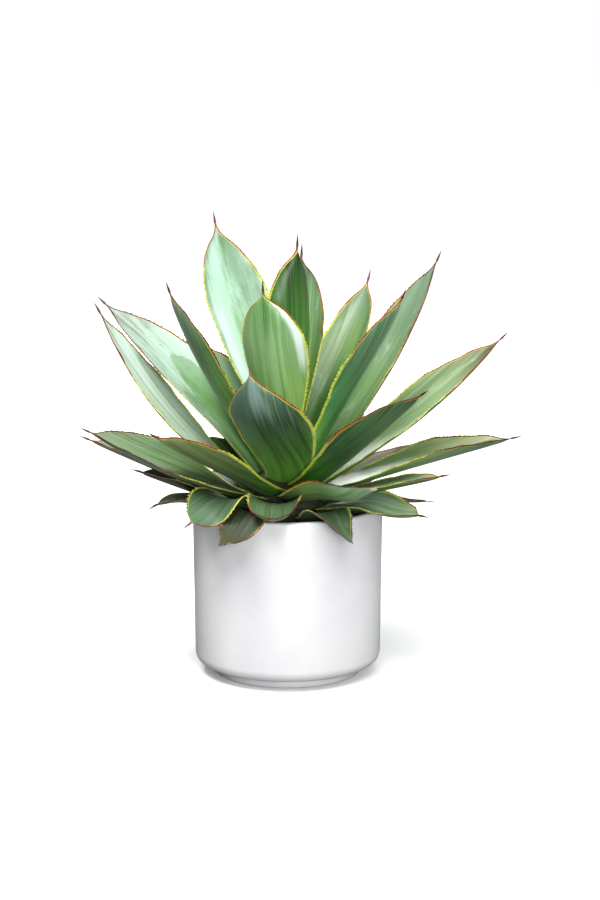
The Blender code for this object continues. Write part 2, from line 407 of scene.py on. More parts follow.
leafBody = {
    "rowStep": 1.5 * mm,  # spacing of the rows along a leaf
    "edgeRadius": 0.62 * mm,
    "edgeRadiusAtTip": 0.42 * mm,
    "spineRadius": 1.0 * mm,
    "toothStep": 3.1 * mm,
    "toothHeight": 1.25 * mm,
    "toothLength": 1.7 * mm,
    "toothFrom": 0.12,  # share of the leaf's length
    "toothTo": 0.92,
    "teethGrow": (0.15, 0.45),  # edge and teeth reach their full size between these shares
    "edgeWave": (7.5 * mm, 3.1 * mm, 0.40 * mm),  # long and short wave, then their height
    "slimFrom": 0.82,
    "pointFrom": 0.87,
    "turnIn": 4.5 * mm,  # how far below the spine the blade starts to round into it
    "spineRows": (0.1, 0.22, 0.34, 0.46, 0.58, 0.7, 0.81, 0.91),
    "brokenEnd": 9.0 * mm,  # how far back a broken end is ragged
}

leafSkin = {
    "fineLines": "#6f9456",
    "bands": "#7a9c62",
    "paleLines": "#c2d8a6",
    "printLine": "#24463a",
    "mottle": "#20402e",
    "cork": "#6e5a34",
    "sheen": (0.04, 0.45, (0.75, 0.95, 0.9, 1.0)),
    "specular": 0.38,
    "relief": (0.35, 0.25 * mm),
}

# what every leaf of an age has, unless its own entry says otherwise; skin colours run from foot to tip, and
# their darker stops low on the leaf are partly painted shade of the crowded rosette
ages = {
    "young": {
        "inner": ["#a3bf4c", "#6f9a45", "#7c9f6c", "#83a287"],
        "outer": ["#9cbf46", "#5d9440", "#5c8f4e", "#4f7f52"],
        "wax": "#c6dfd2", "innerWax": 0.40, "outerWax": 0.18, "waxDepth": 0.40,
        "edgeRoot": "#e0df58", "edgeMiddle": "#9c3a10", "edgeTip": "#4a140a", "edgeLine": "#d2dc4e",
        "edgeTurn": 0.84, "edgeWidth": 1.7, "streak": 0.36, "gloss": 0.34, "specks": 0.12,
        "dry": 1.3, "spine": 9.0,
    },
    "blue": {
        "inner": ["#7fa83f", "#6a9450", "#86a885", "#a3b8ab"],
        "outer": ["#62962a", "#3c6f30", "#48704a", "#648567"],
        "wax": "#c3dcd4", "innerWax": 0.44, "outerWax": 0.18, "waxDepth": 0.42,
        "edgeRoot": "#d8d656", "edgeMiddle": "#862a0c", "edgeTip": "#360d08", "edgeLine": "#c0cc44",
        "edgeTurn": 0.76, "edgeWidth": 1.7, "streak": 0.38, "gloss": 0.36, "specks": 0.25,
        "dry": 1.3, "spine": 8.0,
    },
    "old": {
        "inner": ["#6d8f3c", "#6a8c50", "#7f9a73", "#98a48a"],
        "outer": ["#3c6a26", "#3f6438", "#5a7a50", "#6f8361"],
        "wax": "#b9cfc2", "innerWax": 0.38, "outerWax": 0.2, "waxDepth": 0.5,
        "edgeRoot": "#c2ba5c", "edgeMiddle": "#6e2a12", "edgeTip": "#30100c", "edgeLine": "#a8ae4a",
        "edgeTurn": 0.66, "edgeWidth": 1.6, "streak": 0.36, "gloss": 0.45, "specks": 0.5,
        "dry": 1.3, "spine": 8.0,
    },
    "faded": {
        "inner": ["#b9b873", "#dcd6b0", "#e9dfbd", "#d9a878"],
        "outer": ["#9a9d5c", "#b9b487", "#c3b48a", "#c08d62"],
        "wax": "#ece6cf", "innerWax": 0.35, "outerWax": 0.3, "waxDepth": 0.4,
        "edgeRoot": "#c7b070", "edgeMiddle": "#c8703c", "edgeTip": "#8a4426", "edgeLine": "#d0a868",
        "edgeTurn": 0.35, "edgeWidth": 1.8, "streak": 0.30, "gloss": 0.55, "specks": 0.6,
        "dry": 0.86, "spine": 5.0,
    },
}

# number: age, then what is this leaf's own
# prints are bud marks: top, middle, width, length, tint and strength
# bands are painted highlights (pale tints) and painted shade (dark tints) that run lengthwise: middle, half
# width, start, stop, tint and strength
# bend: where it starts, then out, sideways, up, sag (mm), roll (degrees), openness and width
# cut is where a broken end lies; slant and jag are its slope and raggedness in mm
leafLooks = {
    1: ("young", {"outer": ["#9ccb3c", "#4f9128", "#447c26", "#17401a"], "outerWax": 0.05}),
    2: ("young", {"teeth": 1.2, "edgeTurn": 0.62, "edgeMiddle": "#b4481c", "edgeWidth": 2.0}),
    # the pale bands of leaves 3, 4, 5 and 8 are painted highlights, their dark bands painted shade
    3: ("young", {"outer": ["#b4d05e", "#9cc070", "#8fbb7e", "#6fa65e"],
        "bands": [(0.84, 0.24, 0.55, 0.9, "#e6f4ee", 0.85), (0.15, 0.2, 0.3, 0.75, "#b4d89c", 0.4),
        (-0.9, 0.3, 0.2, 0.9, "#6a8a34", 0.6)], "outerWax": 0.35}),
    # leaf 4's heavy inner wax is painted reflection as well as bloom
    4: ("young", {"inner": ["#9bc25a", "#9cc890", "#92ba96", "#74967a"], "innerWax": 0.7, "point": 0.6,
        "bands": [(0.62, 0.28, 0.15, 0.6, "#e6f6f0", 0.65), (0.5, 0.5, 0.1, 0.9, "#b4dcc6", 0.5),
        (-0.6, 0.5, 0.2, 0.95, "#67876a", 0.55)]}),
    5: ("blue", {"outer": ["#8fc363", "#4f8f5f", "#5d8461", "#6f9c7a"], "edgeTurn": 0.72,
        "edgeMiddle": "#a03a14", "bands": [(0.05, 0.16, 0.45, 0.9, "#b4dcd8", 0.6),
        (0.5, 0.4, 0.1, 0.7, "#2c6a4c", 0.45)]}),
    6: ("blue", {"outer": ["#8fb45a", "#7aa652", "#4e7346", "#859b86"], "edgeTurn": 0.6,
        "edgeMiddle": "#8a2a12"}),
    7: ("young", {"inner": ["#5c8f24", "#56862e", "#6a8a50", "#66866c"]}),
    8: ("blue", {"outer": ["#7cb83a", "#4a7c2a", "#1f4a22", "#6c8c7c"], "outerWax": 0.12, "point": 0.9,
        "spine": 5.0, "spineTints": ("#8a5a4a", "#5a4038"), "edgeMiddle": "#9a4420", "edgeWidth": 2.1,
        "bands": [(-0.5, 0.4, 0.5, 0.8, "#3f6a5a", 0.5), (0.1, 0.5, 0.78, 1.1, "#9ab4ae", 0.6)]}),
    9: ("blue", {"teeth": 1.5, "tooth": "#d89a4a", "edgeWidth": 2.6, "edgeLine": "#d8cf50"}),
    10: ("blue", {"inner": ["#5a8940", "#749560", "#759171", "#90a796"], "edgeTurn": 0.66,
        "edgeRoot": "#d8b840", "edgeMiddle": "#b0561c", "teeth": 1.2}),
    11: ("blue", {}),
    12: ("blue", {"outer": ["#3f8a18", "#1d4d20", "#456f3a", "#3f6340"], "edgeTurn": 0.5,
        "edgeMiddle": "#a63410", "edgeWidth": 2.2}),
    # leaf 13: the pale upper skin colours and heavy inner wax are painted reflection on the glossy inner
    # face, over real wax bloom
    13: ("blue", {"inner": ["#5e8b3d", "#86ac7a", "#b1c7b5", "#a5a49a"], "innerWax": 0.75,
        "prints": [(0.62, -0.35, 0.9, 0.5, "#5e8a4c", 0.75)], "edgeTurn": 0.58, "teeth": 1.5,
        "edgeMiddle": "#9a3412", "bend": (0.15, (0, 0, 0), 0, 0, 1.0, 1.06)}),
    14: ("blue", {"inner": ["#52963a", "#a6cc8e", "#bdd0a8", "#75704e"], "edgeTurn": 0.72,
        "edgeMiddle": "#a2381a"}),
    15: ("blue", {}),
    16: ("blue", {}),
    # leaf 17: the near-white inner skin colours and heavy inner wax are painted reflection on the glossy
    # inner face
    17: ("blue", {"inner": ["#8a9c50", "#dcebd6", "#ecf8f0", "#c9d6cc"], "innerWax": 0.7,
        "bend": (0.15, (0, 0, 0), 0, 0, 1.0, 1.12)}),
    18: ("blue", {"outer": ["#3f760c", "#55703c", "#85965a", "#a0b078"], "edgeTurn": 0.6,
        "edgeMiddle": "#a8401a", "edgeWidth": 2.2}),
    19: ("blue", {"inner": ["#88b868", "#a8d088", "#d0dca8", "#ccbda8"],
        "outer": ["#6b9550", "#86a868", "#7b9b65", "#7a9078"], "edgeTurn": 0.6, "teeth": 1.4,
        "edgeMiddle": "#5e1a0c", "tooth": "#c9a86a"}),
    20: ("old", {}),
    21: ("blue", {"inner": ["#3c5524", "#627a4c", "#6e8a66", "#90927e"], "edgeTurn": 0.52, "teeth": 1.45,
        "edgeMiddle": "#6a1c0c"}),
    22: ("old", {"inner": ["#3c6a1c", "#4f8822", "#6a8c4a", "#8a8a62"]}),
    # leaf 23's nearly black foot is painted shade
    23: ("blue", {"outer": ["#0c4408", "#7a9a50", "#84a876", "#88a67e"],
        "bend": (0.35, (0, 0, 0), -5, 0, 0.9, 1.0), "cut": 0.96, "dry": 0.91,
        "dryTints": ("#c49a8c", "#e6d6ca"), "edgeTurn": 0.34, "edgeMiddle": "#a63a18"}),
    24: ("blue", {"inner": ["#9ab070", "#b0bc88", "#9ab490", "#a8b8a0"]}),
    25: ("faded", {"inner": ["#e0dca8", "#fdf8e0", "#fff9ea", "#f0cfae"], "dry": 1.3,
        "edgeMiddle": "#d07a48", "edgeTip": "#b4603a", "edgeWidth": 2.6}),
    26: ("blue", {}),
    27: ("old", {}),
    28: ("blue", {"inner": ["#a8cc98", "#a8c8b0", "#9ab48c", "#a8bc98"],
        "bend": (0.4, (0, 0, 0), -4, 0, 0.9, 1.0), "dry": 0.93, "dryTints": ("#7c2a14", "#b8623a"),
        "teeth": 1.4}),
    # leaves 29, 30, 35 and 36 lie low over the rim: their dark inner skin colours, and the thin inner wax of
    # 29, 35 and 36, are painted shade under the rosette
    29: ("blue", {"inner": ["#223818", "#2c4426", "#48684a", "#66866a"], "innerWax": 0.25, "gloss": 0.5,
        "bend": (0.45, (0, 0, 0), -8, -29, 0.5, 1.0), "tooth": "#d8cfa0",
        "spineTints": ("#7a5a50", "#4a3b38"), "teeth": 1.3}),
    30: ("blue", {"inner": ["#3f5c2c", "#56704a", "#64825f", "#7f9574"], "innerWax": 0.35,
        "bend": (0.52, (8, 4, 3), -7, 0, 0.8, 1.15), "teeth": 1.2, "edgeTurn": 0.62}),
    31: ("old", {}),
    # leaf 32 is an old leaf low under the rosette: its brown is its own colour, its near-black depth painted
    # shade
    32: ("old", {"inner": ["#3a2a1a", "#6a4a30", "#8a6a4a", "#5a2418"], "edgeMiddle": "#4a1208",
        "outer": ["#2a3a1c", "#2e2a1c", "#38201a", "#3a120e"]}),
    33: ("old", {}),
    34: ("old", {"bend": (0.4, (0, 0, 0), -6, 0, 0.5, 0.6), "dry": 0.78,
        "dryTints": ("#8a2c12", "#c9713c"), "spine": 13.0, "spineThick": 0.45}),
    # 35 and 36: dark inner skin colours are painted shade, as for 29 and 30
    35: ("old", {"inner": ["#2c4a20", "#3a5a30", "#466640", "#5c664e"], "innerWax": 0.2,
        "bend": (0.4, (2, 0, -1), -8, -26, 0.4, 1.0), "cut": 0.92, "slant": 2.0}),
    36: ("blue", {"inner": ["#1a2c0e", "#1f3312", "#26321a", "#4c4628"], "innerWax": 0.0, "streak": 0.15,
        "gloss": 0.6, "edgeTurn": 0.5, "edgeMiddle": "#c0672a",
        "bend": (0.42, (4, -4, -3), -8, -22, 0.35, 1.0), "cut": 0.93, "slant": -2.0}),
    37: ("old", {}),
    38: ("old", {}),
}


skinStops = (0.06, 0.34, 0.64, 0.94)  # shares of the length where the four skin colours sit


def traitsOf(number):
    age, own = leafLooks[number]
    common = {"prints": [], "bands": [], "tooth": "#e2dca0", "dryTints": ("#7a4a2c", "#b98a5c"),
              "spineTints": ("#6b2c1c", "#20110f"), "spineThick": 1.0, "point": 0.62, "teeth": 1.0,
              "bend": None, "cut": 0, "slant": 0.0, "jag": 1.2}
    return {**common, **ages[age], **own}


def weldedNode(node):
    body = bmesh.new()
    body.from_mesh(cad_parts[node].data)
    bmesh.ops.remove_doubles(body, verts=body.verts, dist=0.01 * mm)
    return body


def walk(start, beside):
    # from neighbour to neighbour until none is left
    row = [start]
    while True:
        onward = [v for v in beside[row[-1]] if v not in row]
        if not onward:
            return row
        row.append(onward[0])


def readRings(node):
    # the rings of a packed leaf, foot first, each as -1 .. 1 over the upper face and back under it
    body = weldedNode(node)
    for tip in sorted(body.verts, key=lambda v: -(v.co - Vector((0, 0, 0.15))).length):
        levels, seen = [[tip]], {tip}
        while levels[-1]:
            nextRing = []
            for vert in levels[-1]:
                for edge in vert.link_edges:
                    other = edge.other_vert(vert)
                    if other not in seen:
                        seen.add(other)
                        nextRing.append(other)
            levels.append(nextRing)
        if [len(level) for level in levels[:-1]] == [1] + [8] * (len(levels) - 2):
            break
    else:
        raise ValueError("no rings found in " + node)
    rings = [orderRing(level) for level in levels[1:-1]][::-1]
    points = [np.array([v.co for v in ring]) for ring in rings]
    end = np.array(tip.co)
    body.free()
    return np.array(alignRings(points)), end


def orderRing(ring):
    members = set(ring)
    beside = {v: [e.other_vert(v) for e in v.link_edges if e.other_vert(v) in members
                  and any(set(f.verts) - members for f in e.link_faces)] for v in ring}
    return walk(ring[0], beside)


def alignRings(points):
    # starts at the widest ring, where the two margins are plain, and follows them both ways
    widths = [max(np.linalg.norm(p[i] - p[i + 4]) for i in range(4)) for p in points]
    start = int(np.argmax(widths))
    ring = points[start]
    along = points[start + 1].mean(0) - points[start - 1].mean(0)
    across = np.array((-along[1], along[0], 0.0))
    best = max(range(4), key=lambda i: np.linalg.norm(ring[i] - ring[i + 4]))
    upward = np.cross(along, across)
    choices = []
    for turn in (best, best + 4):
        for step in (1, -1):
            order = np.array([ring[(turn + step * k) % 8] for k in range(8)])
            if np.dot(order[4] - order[0], across) > 0 and np.dot(order[2] - order[6], upward) > 0:
                choices.append(order)
    lined = {start: choices[0]}
    for way in (1, -1):
        at = start
        while 0 <= at + way < len(points):
            ring, known = points[at + way], lined[at]
            known = known - known.mean(0)
            options = []
            for turn in range(8):
                for step in (1, -1):
                    order = np.array([ring[(turn + step * k) % 8] for k in range(8)])
                    options.append((np.square(order - order.mean(0) - known).sum(), turn, step, order))
            lined[at + way] = min(options, key=lambda o: o[:3])[3]
            at += way
    return [lined[i] for i in range(len(points))]


def throughKnots(knots, values):
    # natural cubic spline: a function that gives the values anywhere between the knots
    count = len(knots)
    gaps = np.diff(knots)
    system = np.zeros((count, count))
    right = np.zeros((count, values.shape[1]))
    system[0, 0] = system[-1, -1] = 1.0
    slopes = np.diff(values, axis=0) / gaps[:, None]
    for i in range(1, count - 1):
        system[i, i - 1:i + 2] = gaps[i - 1], 2 * (gaps[i - 1] + gaps[i]), gaps[i]
        right[i] = 6 * (slopes[i] - slopes[i - 1])
    curve = np.linalg.solve(system, right)

    def at(spots):
        spots = np.clip(spots, knots[0], knots[-1])
        i = np.clip(np.searchsorted(knots, spots, side="right") - 1, 0, count - 2)
        h = gaps[i][:, None]
        a = (knots[i + 1] - spots)[:, None] / h
        b = 1 - a
        return (a * values[i] + b * values[i + 1]
                + ((a ** 3 - a) * curve[i] + (b ** 3 - b) * curve[i + 1]) * h ** 2 / 6)
    return at


def crossWeights(known, wanted):
    # Lagrange weights, so that a row of few points gives a smooth row of many
    weights = np.ones((len(wanted), len(known)))
    for i, a in enumerate(known):
        for j, b in enumerate(known):
            if i != j:
                weights[:, i] *= (wanted - b) / (a - b)
    return weights


def unit(rows):
    return rows / np.linalg.norm(rows, axis=1)[:, None]


def smoothStep(x):
    x = np.clip(x, 0, 1)
    return x * x * (3 - 2 * x)


# where a row's points lie from margin to margin: as packed, and as built
upperKnown = np.array([-1, -0.5, 0, 0.5, 1])
underKnown = np.array([-1, -0.55, 0, 0.55, 1])
halfColumns = [0.10, 0.21, 0.33, 0.46, 0.59, 0.71, 0.81, 0.89, 0.95, 0.985]
innerColumns = np.array([-c for c in reversed(halfColumns)] + [0] + halfColumns)
upperColumns = np.concatenate(([-1], innerColumns, [1]))
beadSides = 6
leafMarks = ("leafPlace", "leafSide", "leafGap", "leafUnder", "leafHard", "leafFlat", "leafEnd")


def bentShape(traits, shares, centres, spread):
    # sags, swings, rolls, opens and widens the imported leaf's outer part by a few millimetres
    if not traits["bend"]:
        return centres, spread
    start, (out, side, rise), belly, roll, opened, broad = traits["bend"]
    radial = np.array((centres[-1, 0], centres[-1, 1], 0.0))
    radial /= np.linalg.norm(radial)
    sideways = np.array((-radial[1], radial[0], 0.0))
    upright = np.array((0.0, 0.0, 1.0))
    share = smoothStep((shares - start) / (1 - start))
    move = (radial * out + sideways * side + upright * rise) * mm
    centres = centres + share[:, None] * move + (4 * share * (1 - share) * belly * mm)[:, None] * upright
    ahead = np.gradient(centres, axis=0)
    across = unit(np.cross(upright, ahead))
    above = unit(np.cross(ahead, across))
    full = smoothStep((shares - start) / 0.3)
    wide = np.einsum("rcx,rx->rc", spread, across) * (1 + (broad - 1) * full)[:, None]
    high = np.einsum("rcx,rx->rc", spread, above) * (1 + (opened - 1) * full)[:, None]
    angle = (math.radians(roll) * full)[:, None]
    turnedWide = wide * np.cos(angle) - high * np.sin(angle)
    turnedHigh = wide * np.sin(angle) + high * np.cos(angle)
    spread = across[:, None] * turnedWide[:, :, None] + above[:, None] * turnedHigh[:, :, None]
    return centres, spread


def buildLeaf(number):
    node = "leaf_%02d" % number
    traits = traitsOf(number)
    dice = random.Random(4100 + number)
    rings, tip = readRings(node)
    centres = np.vstack((rings[:, 2], tip))
    spread = np.vstack((rings - rings[:, 2:3], np.zeros((1, 8, 3))))
    steps = np.linalg.norm(np.diff(centres, axis=0), axis=1)
    shares = np.concatenate(([0], np.cumsum(steps))) / steps.sum()
    centres, spread = bentShape(traits, shares, centres, spread)
    tip = centres[-1]
    steps = np.linalg.norm(np.diff(centres, axis=0), axis=1)
    knots = np.concatenate(([0], np.cumsum(steps)))
    length = knots[-1]
    middle = throughKnots(knots, centres)
    offsets = throughKnots(knots, spread.reshape(len(knots), 24))

    cut = traits["cut"]
    spine = 0.0 if cut else traits["spine"] * mm
    bladeEnd = cut * length if cut else length - spine
    rows = int(bladeEnd / leafBody["rowStep"])
    spots = np.linspace(0, bladeEnd, rows + 1)
    if not cut:
        spots = np.concatenate((spots, bladeEnd + spine * np.array(leafBody["spineRows"])))
    # the blade closes at the foot of the spine, so its outline is drawn in towards the tip
    slim = leafBody["slimFrom"] * length
    drawn = smoothStep((spots - slim) / (bladeEnd - slim))
    eased = spots if cut else spots + (length - bladeEnd) * drawn
    shape = offsets(np.minimum(eased, length)).reshape(len(spots), 8, 3)
    if not cut:
        pointFrom = leafBody["pointFrom"] * length
        narrow = smoothStep((spots - pointFrom) / (bladeEnd - pointFrom))
        shape = shape * (1 - (1 - traits["point"]) * narrow)[:, None, None]
    line = middle(spots)
    if not cut:
        bendFrom = bladeEnd - leafBody["turnIn"]
        root = middle(np.array([bendFrom]))[0]
        heading = root - middle(np.array([bendFrom - 3 * mm]))[0]
        heading /= np.linalg.norm(heading)
        run = (np.clip((spots - bendFrom) / (length - bendFrom), 0, 1))[:, None]
        pull = root + heading * np.linalg.norm(tip - root) * 0.5
        arced = (1 - run) ** 2 * root + 2 * run * (1 - run) * pull + run ** 2 * tip
        line = np.where(run > 0, arced, line)

    ahead = unit(np.gradient(line, axis=0))
    across = shape[:, 4] - shape[:, 0]
    across[rows - 4:] = across[rows - 4]
    across = unit(across)
    upward = unit(np.cross(ahead, across))

    upper = shape[:, 0:5]
    under = shape[:, [0, 7, 6, 5, 4]]
    upperRow = np.einsum("cv,rvx->rcx", crossWeights(upperKnown, upperColumns), upper)
    underRow = np.einsum("cv,rvx->rcx", crossWeights(underKnown, innerColumns), under)

    # margins wander a little
    phase = [dice.uniform(0, 6.28) for _ in range(4)]
    longWave, shortWave, waveHeight = leafBody["edgeWave"]
    for edge, way in ((0, -1), (1, 1)):
        rise = (np.sin(spots / longWave + phase[edge]) + 0.6 * np.sin(spots / shortWave + phase[edge + 2]))
        rise *= waveHeight * smoothStep(spots / (0.2 * length))
        rise *= smoothStep((bladeEnd - spots) / (0.15 * length))
        for columns, block in ((upperColumns, upperRow), (innerColumns, underRow)):
            near = np.clip(way * columns, 0, 1) ** 3
            block += upward[:, None] * rise[:, None, None] * near[None, :, None]

    if cut:
        # a broken end is slanted and ragged
        slant, jag = traits["slant"] * mm, traits["jag"] * mm
        reach = leafBody["brokenEnd"]
        late = smoothStep((spots - (bladeEnd - reach)) / reach)
        for columns, block in ((upperColumns, upperRow), (innerColumns, underRow)):
            ragged = np.sin(columns * 9 + phase[2]) + 0.6 * np.sin(columns * 23 + phase[3])
            ragged = slant * columns + jag * ragged
            block += ahead[:, None] * (late[:, None] * ragged[None, :])[:, :, None]
    else:
        # towards its end the blade turns into the round spine
        radius = np.where(spots > bladeEnd, 1 - (spots - bladeEnd) / max(spine, mm), 1.0)
        radius = leafBody["spineRadius"] * np.maximum(radius, 0.04) ** 0.85 * traits["spineThick"]
        reach = leafBody["turnIn"]
        rounding = smoothStep((spots - (bladeEnd - reach)) / reach)
        upperAngle = np.linspace(math.pi, 0, len(upperColumns))
        underAngle = -upperAngle[1:-1]
        share = rounding[:, None, None]
        for angles, block in ((upperAngle, upperRow), (underAngle, underRow)):
            ring = (across[:, None] * np.cos(angles)[None, :, None]
                    + upward[:, None] * np.sin(angles)[None, :, None])
            block *= 1 - share
            block += ring * radius[:, None, None] * share

    count = len(upperColumns) + len(innerColumns)
    points, marks = [], []
    arc = np.linalg.norm(np.diff(upperRow, axis=1), axis=2).sum(1) / 2

    def note(p, u, v, edgeGap, isUnder, kind, x, y):
        points.append(p)
        sheet = 37.0 * number + 11.0 * (isUnder > 0.6)  # keeps the two faces' patterns apart
        marks.append((u, v, edgeGap, isUnder, kind, (x, y, sheet), length * 1000 - y))

    around = [(v, upperRow[:, c], 0.5 if abs(v) == 1 else 0.0) for c, v in enumerate(upperColumns)]
    around += [(v, underRow[:, c], 1.0) for c, v in enumerate(innerColumns)][::-1]
    for r, spot in enumerate(spots):
        kind = 3.0 if spot > bladeEnd else 0.0
        for v, column, isUnder in around:
            note(line[r] + column[r], spot / length, v, (1 - abs(v)) * arc[r] * 1000, isUnder, kind,
                 v * arc[r] * 1000, spot * 1000)
    faces = tubeFaces(0, len(spots), count)
    wide = len(upperColumns)
    top = (len(spots) - 1) * count
    if not cut:
        note(tip, 1.0, 0.0, 0.0, 0.5, 3.0, 0.0, length * 1000)
        for i in range(count):
            faces.append((top + i, len(points) - 1, top + (i + 1) % count))
    # the foot, and a broken end, close in strips from one margin to the other
    for i in range(wide - 1):
        lower = [wide - 1 if k == wide - 1 else (count - k) % count for k in (i, i + 1)]
        strip = tuple(dict.fromkeys((i, i + 1, lower[1], lower[0])))
        faces.append(strip)
        if cut:
            faces.append(tuple(top + k for k in reversed(strip)))

    # horny edges and teeth
    for edge, way in ((0, -1), (wide - 1, 1)):
        run = line + upperRow[:, edge]
        inner = line + upperRow[:, 1 if edge == 0 else edge - 1]
        outward = run - inner
        if not cut:
            outward[rows - 3:] = (across * way)[rows - 3:]
        outward = unit(outward)
        margin = (way, length, bladeEnd, rows, spots, run, outward, np.cross(outward, ahead), arc)
        first = len(points)
        addBead(note, *margin)
        faces += tubeFaces(first, rows, beadSides, True)
        faces.append(tuple(first + k for k in reversed(range(beadSides))))
        faces.append(tuple(first + (rows - 1) * beadSides + k for k in range(beadSides)))
        addTeeth(note, *margin, points, faces, dice, ahead, traits["teeth"])

    piece = addMesh(node + "_living", points, faces)
    mesh = piece.data
    for name, values in zip(leafMarks, zip(*marks)):
        writeAttribute(mesh, name, values)
    mesh.materials.append(leafMaterial(node + "_skin", traits))
    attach(piece, "root")
    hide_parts(node)


def tubeFaces(first, rings, sides, flipped=False):
    # faces between rings of points that follow one another
    faces = []
    for a in range(first, first + (rings - 1) * sides, sides):
        for i in range(sides):
            j = (i + 1) % sides
            quad = (a + i, a + sides + i, a + sides + j, a + j)
            faces.append(quad[:1] + quad[:0:-1] if flipped else quad)
    return faces


def edgeGrowth(share):
    # slim where the feet crowd together
    low, high = leafBody["teethGrow"]
    return 0.3 + 0.7 * smoothStep((share - low) / (high - low))


def addBead(note, way, length, bladeEnd, rows, spots, run, outward, normal, arc):
    # the thin hard bead along one margin
    for r in range(1, rows + 1):
        u = spots[r] / length
        thick = leafBody["edgeRadius"] + (leafBody["edgeRadiusAtTip"] - leafBody["edgeRadius"]) * u
        thick *= edgeGrowth(u)
        thick *= 0.45 + 0.55 * min(1.0, (bladeEnd - spots[r]) / (8 * mm))
        thick *= 1 + 0.14 * math.sin(spots[r] / (1.9 * mm) + way)
        centre = run[r] - outward[r] * (0.35 * thick)
        for k in range(beadSides):
            a = 2 * math.pi * k / beadSides
            p = centre + (outward[r] * math.cos(a) + normal[r] * math.sin(a)) * thick
            note(p, u, way, 0.0, 0.5, 1.0, way * (arc[r] * 1000 + k * 0.2), spots[r] * 1000)


def addTeeth(note, way, length, bladeEnd, rows, spots, run, outward, normal, arc, points, faces, dice,
             ahead, scale):
    # small hooked pyramids that stand on the bead
    thick = leafBody["edgeRadius"] * 0.62
    spot = leafBody["toothFrom"] * length
    while spot < leafBody["toothTo"] * bladeEnd:
        u = spot / length
        r = int(np.clip(np.searchsorted(spots, spot), 1, rows))
        mix = (spot - spots[r - 1]) / (spots[r] - spots[r - 1])
        root = run[r - 1] * (1 - mix) + run[r] * mix
        out, forth, up = outward[r], ahead[r], normal[r]
        size = (0.55 + 0.45 * math.sin(math.pi * min(u * 1.25, 1.0))) * dice.uniform(0.65, 1.2)
        size *= scale * edgeGrowth(u)
        tall, long = leafBody["toothHeight"] * size, leafBody["toothLength"] * size ** 0.5
        hook = dice.uniform(-0.35, 0.6) * tall
        base = len(points)
        spread = (way * arc[r] * 1000, spot * 1000)
        for level, (shrink, height) in enumerate(((1.0, 0.05), (0.55, 0.55))):
            centre = root + out * (thick * 0.4 + tall * height) + forth * hook * height ** 2
            for a, b in ((1, 0), (0, 1), (-1, 0), (0, -1)):
                p = centre + forth * (a * long / 2 * shrink) + up * (b * thick * 0.9 * shrink)
                note(p, u, way, 0.0, 0.5, 1.15 + 0.45 * level, *spread)
        note(root + out * (thick * 0.4 + tall) + forth * hook, u, way, 0.0, 0.5, 2.0, *spread)
        for k in range(4):
            j = (k + 1) % 4
            faces.append((base + k, base + j, base + 4 + j, base + 4 + k))
            faces.append((base + 4 + k, base + 4 + j, base + 8))
        faces.append((base + 3, base + 2, base + 1, base))
        spot += leafBody["toothStep"] * dice.uniform(0.75, 1.3) * (1 + 0.5 * max(0, u - 0.5))


